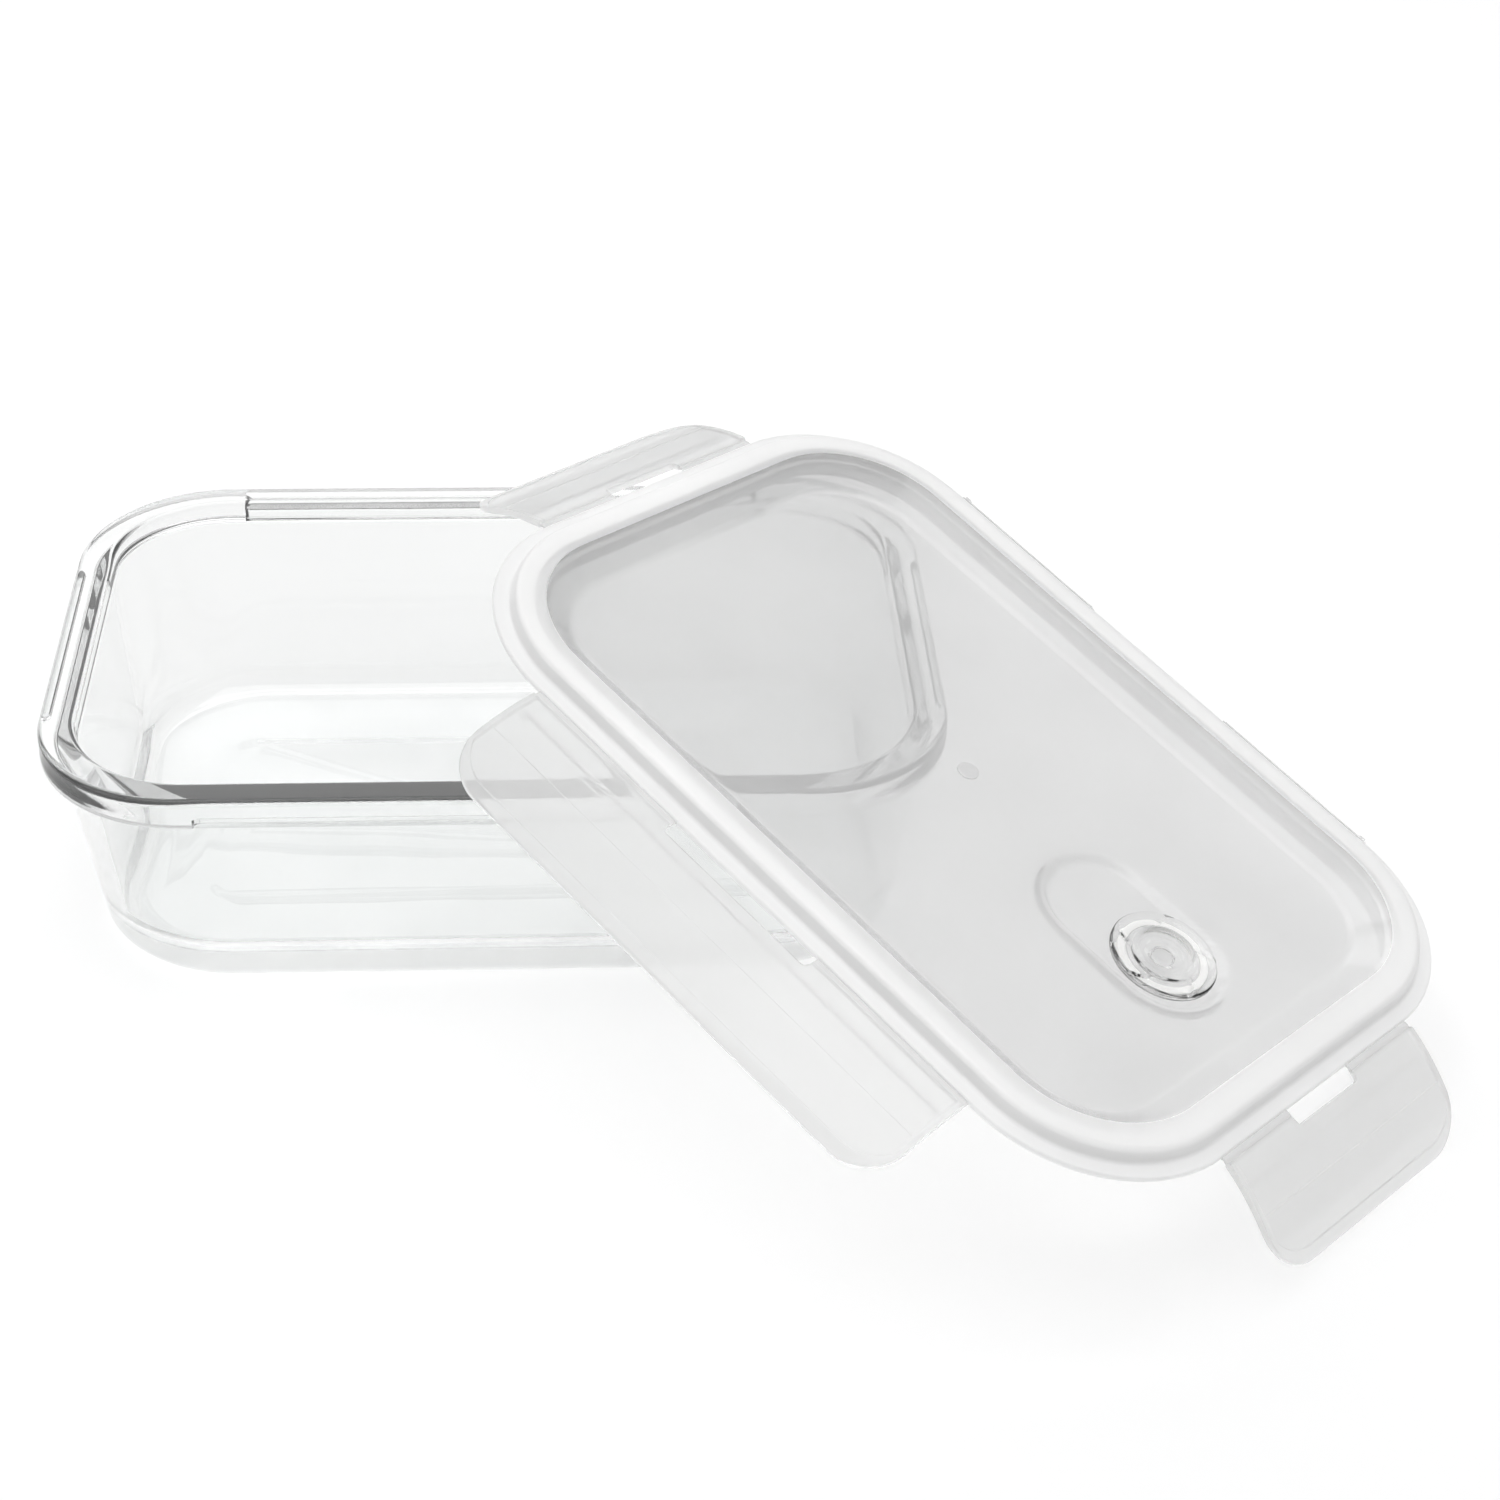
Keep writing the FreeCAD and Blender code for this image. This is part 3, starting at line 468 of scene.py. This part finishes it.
def make_bowl(material, foot_material):
    """Tapered walls, flat foot, thick flange with a latch recess on each side, sunk floor panel."""
    low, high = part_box("glass_container")
    half_x = (high.x - low.x) / 2 / MM
    half_y = (high.y - low.y) / 2 / MM
    top = high.z / MM
    flange_bottom = top - FLANGE_DEPTH
    catch_top = top - CATCH_LIP
    runs = (half_y - GLASS_CORNER, half_x - GLASS_CORNER)
    shares = [
        [place / run for place in stations(run, (half - CATCH_DEPTH / 2,), spacing=1.6, reach=1.6)]
        for run, half in zip(runs, CATCH_HALF)
    ]

    def spread(inset, height, bottom, reach):
        """Half sizes and corner of the bowl at one inset and height."""
        share = min(max((height - bottom) / reach, 0.0), 1.0)
        corner = FOOT_CORNER + (GLASS_CORNER - FOOT_CORNER) * share - inset
        return half_x - inset, half_y - inset, max(corner, 1.0), height

    rings = []
    outside = rounded_path([
        (FOOT_FACE_INSET, 0.0, 0.0),
        (FOOT_INSET, 0.0, FOOT_ROUND),
        (FLANGE_OVERHANG, flange_bottom, FLANGE_ROOT_ROUND),
        (FLANGE_EDGE_ROUND, flange_bottom, 0.0),
    ], 9)
    for inset, height in outside:
        rings.append(ring(*spread(inset, height, 0.0, flange_bottom), shares))
    edge_step = FLANGE_EDGE_ROUND / 4
    for inset, rise in ((edge_step, edge_step), (0.0, FLANGE_EDGE_ROUND)):
        rings.append(ring(*spread(inset, flange_bottom + rise, 0.0, 1.0), shares, catch=1.0))
    for rise, depth_share in CATCH_EDGE:
        rings.append(ring(*spread(0.0, catch_top + rise, 0.0, 1.0), shares, catch=depth_share))
    inside = rounded_path([
        (0.0, catch_top + 1.0, 0.0),
        (0.0, top, RIM_ROUND),
        (MOUTH_INSET, top, RIM_ROUND),
        (FLOOR_INSET, FLOOR_LEVEL, FLOOR_ROUND),
        (FLOOR_INSET + FLOOR_ROUND + FLOOR_ROUND_RUN_OUT, FLOOR_LEVEL, 0.0),
    ], 12)
    for inset, height in inside:
        rings.append(ring(*spread(inset, height, FLOOR_LEVEL, top - FLOOR_LEVEL), shares))
    panel_x, panel_y, panel_corner = FLOOR_PANEL
    for grow, sink in FLOOR_PANEL_EDGE:
        end_x = panel_x + FLOOR_PANEL_END_RUN * grow
        rings.append(ring(end_x, panel_y + grow, panel_corner + grow, FLOOR_LEVEL - sink, shares))
    bowl = skin("glass_bowl", rings)
    dress(bowl, material, "clear_glass", "container", "glass_container")
    bowl.data.materials.append(foot_material)
    for face in bowl.data.polygons:
        face.material_index = int(face.center.z < FOOT_LEVEL * MM)
    return bowl


def dress(piece, material, slot, body, *nodes):
    """Gives a piece its material and the body it rides on, and hides what it replaces. Its slot is not used.
    """
    piece.data.materials.append(material)
    if nodes:
        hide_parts(*nodes)
    if body:
        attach(piece, body)
    return piece


# ---------------------------------------------------------------- lid


def lid_place():
    """The lid's own frame, in metres: its Z is the vent's axis and its X joins the end hinges."""
    right = Vector(JOINTS["flap_right_hinge"]["pos_m"])
    left = Vector(JOINTS["flap_left_hinge"]["pos_m"])
    across = (right - left).normalized()
    normal = Vector(JOINTS["vent_pull"]["axis"]).normalized()
    along = normal.cross(across)
    origin = (right + left) / 2 - normal * HINGE_HEIGHT * MM
    place = Matrix((across, along, normal)).transposed().to_4x4()
    place.translation = origin
    return place


def hollow_depth(x, y, radius):
    """How far the panel sinks at a point, for the finger hollow beside the vent."""
    past = max(abs(x - HOLLOW_CENTRE) - HOLLOW_HALF_RUN, 0.0)
    return HOLLOW_DEPTH * (1.0 - smooth_step(math.hypot(past, y), radius - HOLLOW_SLOPE, radius))


def inset_of(x, y):
    """How far a point of the lid's plane lies inside the lid's outline."""
    past_x = abs(x) - (LID_HALF[0] - LID_CORNER)
    past_y = abs(y) - (LID_HALF[1] - LID_CORNER)
    if past_x > 0.0 and past_y > 0.0:
        return LID_CORNER - math.hypot(past_x, past_y)
    return LID_CORNER - max(past_x, past_y)


def make_lid(place, material, bead_material):
    """Lip, bead, channel, rib and sunken tray in one skin, with the finger hollow pressed in."""
    half_x, half_y = LID_HALF
    shares = [
        [spot / run for spot in stations(run, (), spacing=1.5)]
        for run in (half_y - LID_CORNER, half_x - LID_CORNER)
    ]

    def row(inset, height, radius=None):
        corner = max(LID_CORNER - inset, min(0.6, half_y - inset))
        points = ring(half_x - inset, half_y - inset, corner, height, shares)
        if radius:
            for point in points:
                point.z -= hollow_depth(point.x, point.y, radius)
        return points

    grid_start = TRAY_FLOOR_INSET + TRAY_GRID_START
    panel = [grid_start + step for step in range(int(half_y - grid_start))]
    panel.append(half_y)
    round_end = TRAY_FLOOR_INSET + TRAY_ROUND_RUN_OUT
    rings = [row(inset, TRAY_FLOOR, HOLLOW_RADIUS) for inset in reversed(panel)]
    section = rounded_path([
        (round_end, TRAY_FLOOR, 0.0),
        (TRAY_FLOOR_INSET, TRAY_FLOOR, 4.0),
        (TRAY_TOP_INSET, BEAD_TOP, 0.7),
        (BEAD_INSET, BEAD_TOP, 1.5),
        (BEAD_FOOT_INSET, LIP_TOP, 0.9),
        (0.0, LIP_TOP, 0.55),
        (0.0, LIP_BOTTOM, 0.55),
        (CHANNEL_INSETS[0], LIP_BOTTOM, 0.3),
        (CHANNEL_INSETS[0], CHANNEL_ROOF, 0.25),
        (CHANNEL_INSETS[1], CHANNEL_ROOF, 0.25),
        (CHANNEL_INSETS[1], LIP_BOTTOM, 0.3),
        (RIB_INSETS[0], LIP_BOTTOM, 0.2),
        (RIB_INSETS[0], TRAY_UNDERSIDE, 0.4),
        (RIB_INSETS[1], TRAY_UNDERSIDE, 0.4),
        (RIB_INSETS[1], RIB_ROOT, 0.3),
        (TRAY_UNDER_INSET, TRAY_UNDERSIDE, 3.0),
        (round_end, TRAY_UNDERSIDE, 0.0),
    ], 5)
    rings += [row(inset, height) for inset, height in section]
    rings += [row(inset, TRAY_UNDERSIDE, HOLLOW_RADIUS + HOLLOW_WALL) for inset in panel]
    lid = skin("lid_moulding", rings, place, capped=False)
    dress(lid, material, "frosted_lid", "lid", "lid_rim", "lid_panel")
    lid.data.materials.append(bead_material)
    to_lid = place.inverted()
    for face in lid.data.polygons:
        spot = (to_lid @ face.center) / MM
        face.material_index = int(inset_of(spot.x, spot.y) < TRAY_TOP_INSET + BEAD_BORDER)
    gate = lathe("lid_gate_mark", GATE_MARK, place @ Matrix.Translation((0.0, GATE_MARK_AT * MM, 0.0)), 40)
    dress(gate, material, "frosted_lid", "lid")
    return lid


def make_gasket(place, material):
    """Silicone ring in the channel, rounded on the face that meets the glass."""
    outer, inner = CHANNEL_INSETS[0] + GASKET_CLEARANCE, CHANNEL_INSETS[1] - GASKET_CLEARANCE
    low, high = GASKET_HEIGHTS
    half_x, half_y = LID_HALF
    shares = [[i / 20 - 1 for i in range(41)]] * 2
    section = rounded_path([
        (outer, GASKET_SEAM[0], 0.0),
        (outer, high, GASKET_ROOT_ROUND),
        (inner, high, GASKET_ROOT_ROUND),
        (inner, low, GASKET_FACE_ROUND),
        (outer, low, GASKET_FACE_ROUND),
        (outer, GASKET_SEAM[1], 0.0),
    ], 6)
    rings = [
        ring(half_x - inset, half_y - inset, LID_CORNER - inset, height, shares)
        for inset, height in section
    ]
    return dress(skin("lid_gasket_ring", rings, place, True), material, "silicone", "lid", "lid_gasket")


# ---------------------------------------------------------------- latch flaps


def hinge_frame(place, side):
    """Frame of one flap's hinge: X out from the lid, Y along the hinge axis."""
    distance = LID_HALF[0 if side in ("left", "right") else 1] + HINGE_STAND_OFF
    turn = Matrix.Rotation(math.radians(SIDES[side]), 4, "Z")
    return place @ turn @ Matrix.Translation((distance * MM, 0.0, HINGE_HEIGHT * MM))


def flap_drop(side):
    """How far a flap has dropped from the lid's plane, from its joint's raised limit."""
    return -JOINTS["flap_%s_hinge" % side]["range_deg"][0] - FLAP_RAISED_LIMIT


def bend(along, across, lift):
    """Point of the bent flap, from its distance along, across and off the middle surface."""
    radius = FLAP_LENGTH / FLAP_BEND
    angle = along / radius
    x = FLAP_ROOT_GAP + (radius + lift) * math.sin(angle)
    return Vector((x, across, (radius + lift) * math.cos(angle) - radius))


def flap_spots(start, end):
    """Places along a flap for one section: evenly spread, and close together at every step in it."""
    edge = FLAP_EDGE_ROUND
    root, hook_end = HOOK_SPAN[0] - HOOK_MARGIN, HOOK_SPAN[1] + HOOK_MARGIN
    crease, middle, rim = FLAP_CREASE - 0.5, FLAP_CREASE + 1.2, end - FLAP_RIM_WIDTH
    spots = [start + edge + (root - start - edge) * i / 4 for i in range(4)]
    for first, last, count in ((root, hook_end, 20), (hook_end, crease, 7)):
        spots += [first + (last - first) * i / count for i in range(count)]
    spots += [crease + i * 0.08 for i in range(13)]
    spots += [middle + (rim - 0.5 - middle) * i / 9 for i in range(9)]
    spots += [rim - 0.4 + i * 0.1 for i in range(9)]
    spots += [rim + 0.6 + (FLAP_RIM_WIDTH - 0.6 - edge) * i / 5 for i in range(6)]
    for i in range(1, len(spots)):
        spots[i] = max(spots[i], spots[i - 1] + 0.004)
    return spots


def flap_section(across, half, slot):
    """Closed section of the flap at one place across its width."""
    from_side = half - abs(across)
    start = SLOT_REACH
    past_slot = abs(across) - (slot - SLOT_CORNER)
    if past_slot > SLOT_CORNER:
        start = 0.0
    elif past_slot > 0.0:
        start -= SLOT_CORNER - math.sqrt(SLOT_CORNER**2 - past_slot**2)
    cut = max(FLAP_CORNER - from_side, 0.0)
    end = FLAP_LENGTH - (FLAP_CORNER - math.sqrt(max(FLAP_CORNER**2 - cut**2, 0.0)))
    thickness = FLAP_HALF_THICKNESS
    spots = flap_spots(start, end)

    def outer_face(along):
        from_border = min(end - along, FLAP_LENGTH)
        end_rim = smooth_step(FLAP_RIM_WIDTH - from_border, -FLAP_RIM_BLEND, FLAP_RIM_BLEND)
        side_rim = smooth_step(FLAP_SIDE_RIM_WIDTH - from_side, -FLAP_RIM_BLEND, FLAP_RIM_BLEND)
        crease = smooth_step(along, FLAP_CREASE - FLAP_CREASE_BLEND, FLAP_CREASE + FLAP_CREASE_BLEND)
        return thickness + max(FLAP_RIM * max(end_rim, side_rim), FLAP_CREASE_STEP * crease)

    def inner_face(along):
        near, far = HOOK_SPAN
        hook = smooth_step(along, near - HOOK_SLOPE_OUT, near + HOOK_SLOPE_IN)
        hook *= 1.0 - smooth_step(along, far - HOOK_SLOPE_IN, far + HOOK_SLOPE_OUT)
        hook *= smooth_step(from_side, HOOK_END_GAP - HOOK_END_SLOPE, HOOK_END_GAP + HOOK_END_SLOPE)
        return -thickness - HOOK_HEIGHT * hook

    inward, down = FLAP_BORDER_IN, FLAP_BORDER_DOWN
    points = [(along, outer_face(along)) for along in spots]
    points += [(end - inward, outer_face(end) - down), (end, 0.1), (end - inward, -thickness + down)]
    points += [(along, inner_face(along)) for along in reversed(spots)]
    points += [(start + inward, -thickness + down), (start, 0.0), (start + inward, thickness - down)]
    return [bend(along, across, lift) for along, lift in points]


def make_flap(place, side, material):
    """One latch flap: curved plate with raised borders, a hook ridge inside and a slot at its root."""
    kind = "short" if side in ("left", "right") else "long"
    half, slot = FLAP_HALF[kind], SLOT_HALF[kind]
    marks = (slot - SLOT_CORNER / 2, half - FLAP_SIDE_MARK)
    places = stations(half - FLAP_SIDE_TRIM, marks, spacing=1.5, reach=2.4, fine=8)
    drop = Matrix.Rotation(math.radians(flap_drop(side)), 4, "Y")
    flap = skin(
        "flap_" + side + "_plate",
        [flap_section(across, half, slot) for across in places],
        hinge_frame(place, side) @ drop,
        sharp=50.0,
    )
    return dress(flap, material, "frosted_lid", "flap_" + side, "latch_flap_" + side)


def make_hinge_strips(place, side, material):
    """The two thin strips that a flap bends on, each with a hollow of thinner plastic in its middle."""
    kind = "short" if side in ("left", "right") else "long"
    half, slot = FLAP_HALF[kind], SLOT_HALF[kind]
    hinge = hinge_frame(place, side)
    drop = math.radians(flap_drop(side))
    mesh = bmesh.new()
    reach_in = HINGE_STAND_OFF + WEB_OVERLAP_LID
    reach_out = FLAP_ROOT_GAP + WEB_OVERLAP_FLAP
    steps = 12
    for sign in (1, -1):
        rows = []
        for step in range(steps + 1):
            along = -reach_in + (reach_in + reach_out) * step / steps
            angle = drop * smooth_step(along, -HINGE_STAND_OFF, FLAP_ROOT_GAP)
            thin = 1.0 - WEB_THINNING * math.exp(-(along / WEB_THIN_REACH) ** 2)
            row = []
            for across, lift in ((slot, 1), (half, 1), (half, -1), (slot, -1)):
                point = Vector((along, sign * across, lift * WEB_HALF_THICKNESS * thin))
                spun = Matrix.Rotation(angle, 3, "Y") @ point
                row.append(mesh.verts.new(hinge @ (spun * MM)))
            rows.append(row)
        for lower, upper in zip(rows, rows[1:]):
            for i in range(4):
                j = (i + 1) % 4
                mesh.faces.new((lower[i], lower[j], upper[j], upper[i]))
        mesh.faces.new(list(reversed(rows[0])))
        mesh.faces.new(rows[-1])
    strips = finish_mesh("flap_" + side + "_living_hinge", mesh)
    dress(strips, material, "frosted_lid", None, "hinge_webs_" + side)
    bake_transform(strips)
    return strips


# ---------------------------------------------------------------- vent


def make_vent(place, plastic, silicone):
    """Clear plug with a petalled rim and ringed crown, and the soft seal under it."""
    vent = place @ Matrix.Translation((VENT_OFFSET * MM, 0.0, 0.0))

    inner, outer = PETAL_BAND

    def petals(radius, turn, height):
        """Swept scallops round the disc's upper face, with a groove between each two."""
        if height < -0.2 or not inner < radius < outer:
            return 0.0
        lean = (radius - inner) * PETAL_LEAN
        groove = abs(math.sin(PETALS / 2 * (turn + lean)))
        inside = smooth_step(radius, inner, PETAL_FADE_IN) * (1.0 - smooth_step(radius, *PETAL_FADE_OUT))
        return -PETAL_GROOVE_DEPTH * inside * (1.0 - smooth_step(groove, 0.0, PETAL_GROOVE_WIDTH))

    profile = VENT_STEM + VENT_DISC + VENT_SCALLOPED_RING + VENT_CROWN
    plug = lathe("vent_plug_clear", profile, vent, 160, petals)
    dress(plug, plastic, "clear_plastic", "vent", "vent_plug")
    (near, far), (low, high) = SEAL_RADII, SEAL_HEIGHTS
    corners = ((near, low), (near, high), (far, high), (far, low))
    seal_profile = rounded_path([
        (9.5, low, 0.0), *((radius, height, SEAL_ROUND) for radius, height in corners), (9.6, low, 0.0),
    ], 3)
    turns = [2 * math.pi * step / 72 for step in range(72)]
    rings = [
        [Vector((radius * math.cos(turn), radius * math.sin(turn), height)) for turn in turns]
        for radius, height in seal_profile
    ]
    seal = skin("vent_seal_ring", rings, vent, True)
    dress(seal, silicone, "silicone", "vent", "vent_seal")


# ---------------------------------------------------------------- studio

CAMERA_AT = (0.01922, -0.61818, 0.43477)
CAMERA_PITCH = 33.7136
CAMERA_YAW = 3.8004
CAMERA_ROLL = 1.4157
CAMERA_LENS = 73.405

# brightness of the studio low in front and behind, low at the sides where grey flags stand, and overhead
STUDIO_FRONT = 0.62
STUDIO_SIDE = 0.30
STUDIO_CEILING = 0.75
SIDE_SPREAD = (0.28, 0.72)
CEILING_SPREAD = (0.25, 0.75)

FLOOR_REACH = 20.0
FLOOR_DROP = 0.0003

# each light's name, place, the point it looks at, its width and height, and its power in watts
LIGHTS = (
    ("top_light", (0.0, 0.15, 1.5), (0.0, 0.0, 0.0), (1.6, 1.4), 10.5),
    ("back_light", (-0.3, 1.4, 1.0), (0.0, 0.0, 0.05), (1.6, 0.8), 3.8),
    ("left_light", (-1.3, -0.5, 0.9), (0.0, 0.0, 0.05), (0.7, 1.0), 1.4),
)


def make_camera():
    """Camera in front of the bowl and above it, looking down with a slight roll."""
    pitch, yaw, roll = (math.radians(a) for a in (CAMERA_PITCH, CAMERA_YAW, CAMERA_ROLL))
    forward = Vector((
        math.sin(yaw) * math.cos(pitch), math.cos(yaw) * math.cos(pitch), -math.sin(pitch)
    ))
    level = Vector((math.cos(yaw), -math.sin(yaw), 0.0))
    down = forward.cross(level)
    right = math.cos(roll) * level - math.sin(roll) * down
    up = -(math.sin(roll) * level + math.cos(roll) * down)
    data = bpy.data.cameras.new("camera")
    data.sensor_width = 36.0
    data.lens = CAMERA_LENS
    camera = bpy.data.objects.new("camera", data)
    place = Matrix((right, up, -forward)).transposed().to_4x4()
    place.translation = Vector(CAMERA_AT)
    camera.matrix_world = place
    bpy.context.scene.collection.objects.link(camera)
    bpy.context.scene.camera = camera


def range_node(tree, source, target):
    """Smooth change from one pair of values to another."""
    node = node_of(tree, "ShaderNodeMapRange", interpolation_type="SMOOTHSTEP")
    values = zip(("From Min", "From Max", "To Min", "To Max"), (*source, *target))
    for socket, value in values:
        node.inputs[socket].default_value = value
    return node


def make_light(name, at, aim, size, power):
    """Soft rectangular light that looks at a point."""
    data = bpy.data.lights.new(name, "AREA")
    data.shape = "RECTANGLE"
    data.size, data.size_y = size
    data.energy = power
    light = bpy.data.objects.new(name, data)
    light.location = at
    light.rotation_euler = (Vector(aim) - Vector(at)).to_track_quat("-Z", "Y").to_euler()
    bpy.context.scene.collection.objects.link(light)


def make_studio():
    """Pale floor just below the foot, soft lights, and a world that is greyer low down at the sides."""
    mesh = bmesh.new()
    reach = FLOOR_REACH
    corners = ((-reach, -reach), (reach, -reach), (reach, reach), (-reach, reach))
    mesh.faces.new([mesh.verts.new((x, y, -FLOOR_DROP)) for x, y in corners])
    floor = finish_mesh("floor", mesh)
    material, tree, shader, _ = new_material("pale_floor", Roughness=0.9, Specular_IOR_Level=0.1)
    add_tint(tree, shader, 1.5, grey(0.93), grey(0.95))
    floor.data.materials.append(material)
    for light in LIGHTS:
        make_light(*light)
    world = bpy.data.worlds.new("studio")
    bpy.context.scene.world = world
    world.use_nodes = True
    tree = world.node_tree
    background = tree.nodes["Background"]
    place = node_of(tree, "ShaderNodeTexCoord")
    split = node_of(tree, "ShaderNodeSeparateXYZ")
    sideways = node_of(tree, "ShaderNodeMath", operation="ABSOLUTE")
    flags = range_node(tree, SIDE_SPREAD, (STUDIO_FRONT, STUDIO_SIDE))
    lift = range_node(tree, CEILING_SPREAD, (0.0, 1.0))
    shade = node_of(tree, "ShaderNodeMix", data_type="FLOAT")
    shade.inputs[3].default_value = STUDIO_CEILING
    tree.links.new(place.outputs["Generated"], split.inputs[0])
    tree.links.new(split.outputs["X"], sideways.inputs[0])
    tree.links.new(sideways.outputs[0], flags.inputs["Value"])
    tree.links.new(split.outputs["Z"], lift.inputs["Value"])
    tree.links.new(lift.outputs["Result"], shade.inputs[0])
    tree.links.new(flags.outputs["Result"], shade.inputs[2])
    tree.links.new(shade.outputs[0], background.inputs["Color"])
    background.inputs["Strength"].default_value = 1.0
    bpy.context.scene.view_settings.view_transform = "Standard"


# ---------------------------------------------------------------- everything

glass = glass_material()
panel_plastic = frosted_material(
    "frosted_panel", clearness=0.72, glow=0.10, tones=(0.73, 0.79), roughness=(0.03, 0.08)
)
bead_plastic = frosted_material(
    "frosted_bead", clearness=0.42, glow=0.15, tones=(0.88, 0.92), roughness=(0.28, 0.38)
)
flap_plastic = frosted_material(
    "frosted_flap", clearness=0.78, glow=0.30, tones=(0.80, 0.84), roughness=(0.02, 0.06)
)
# the hinge strips: the flaps' plastic a little darker and less clear, as painted shade in the groove along
# the hinge
hinge_shade_plastic = frosted_material(
    "hinge_painted_shade", clearness=0.60, glow=0.15, tones=(0.74, 0.80), roughness=(0.10, 0.20)
)
silicone = silicone_material()
clear_plastic = clear_plastic_material()

make_bowl(glass, stippled_glass_material())
lid_frame = lid_place()
make_lid(lid_frame, panel_plastic, bead_plastic)
make_gasket(lid_frame, silicone)
make_vent(lid_frame, clear_plastic, silicone)
for side in SIDES:
    make_flap(lid_frame, side, flap_plastic)
    make_hinge_strips(lid_frame, side, hinge_shade_plastic)
make_studio()
make_camera()
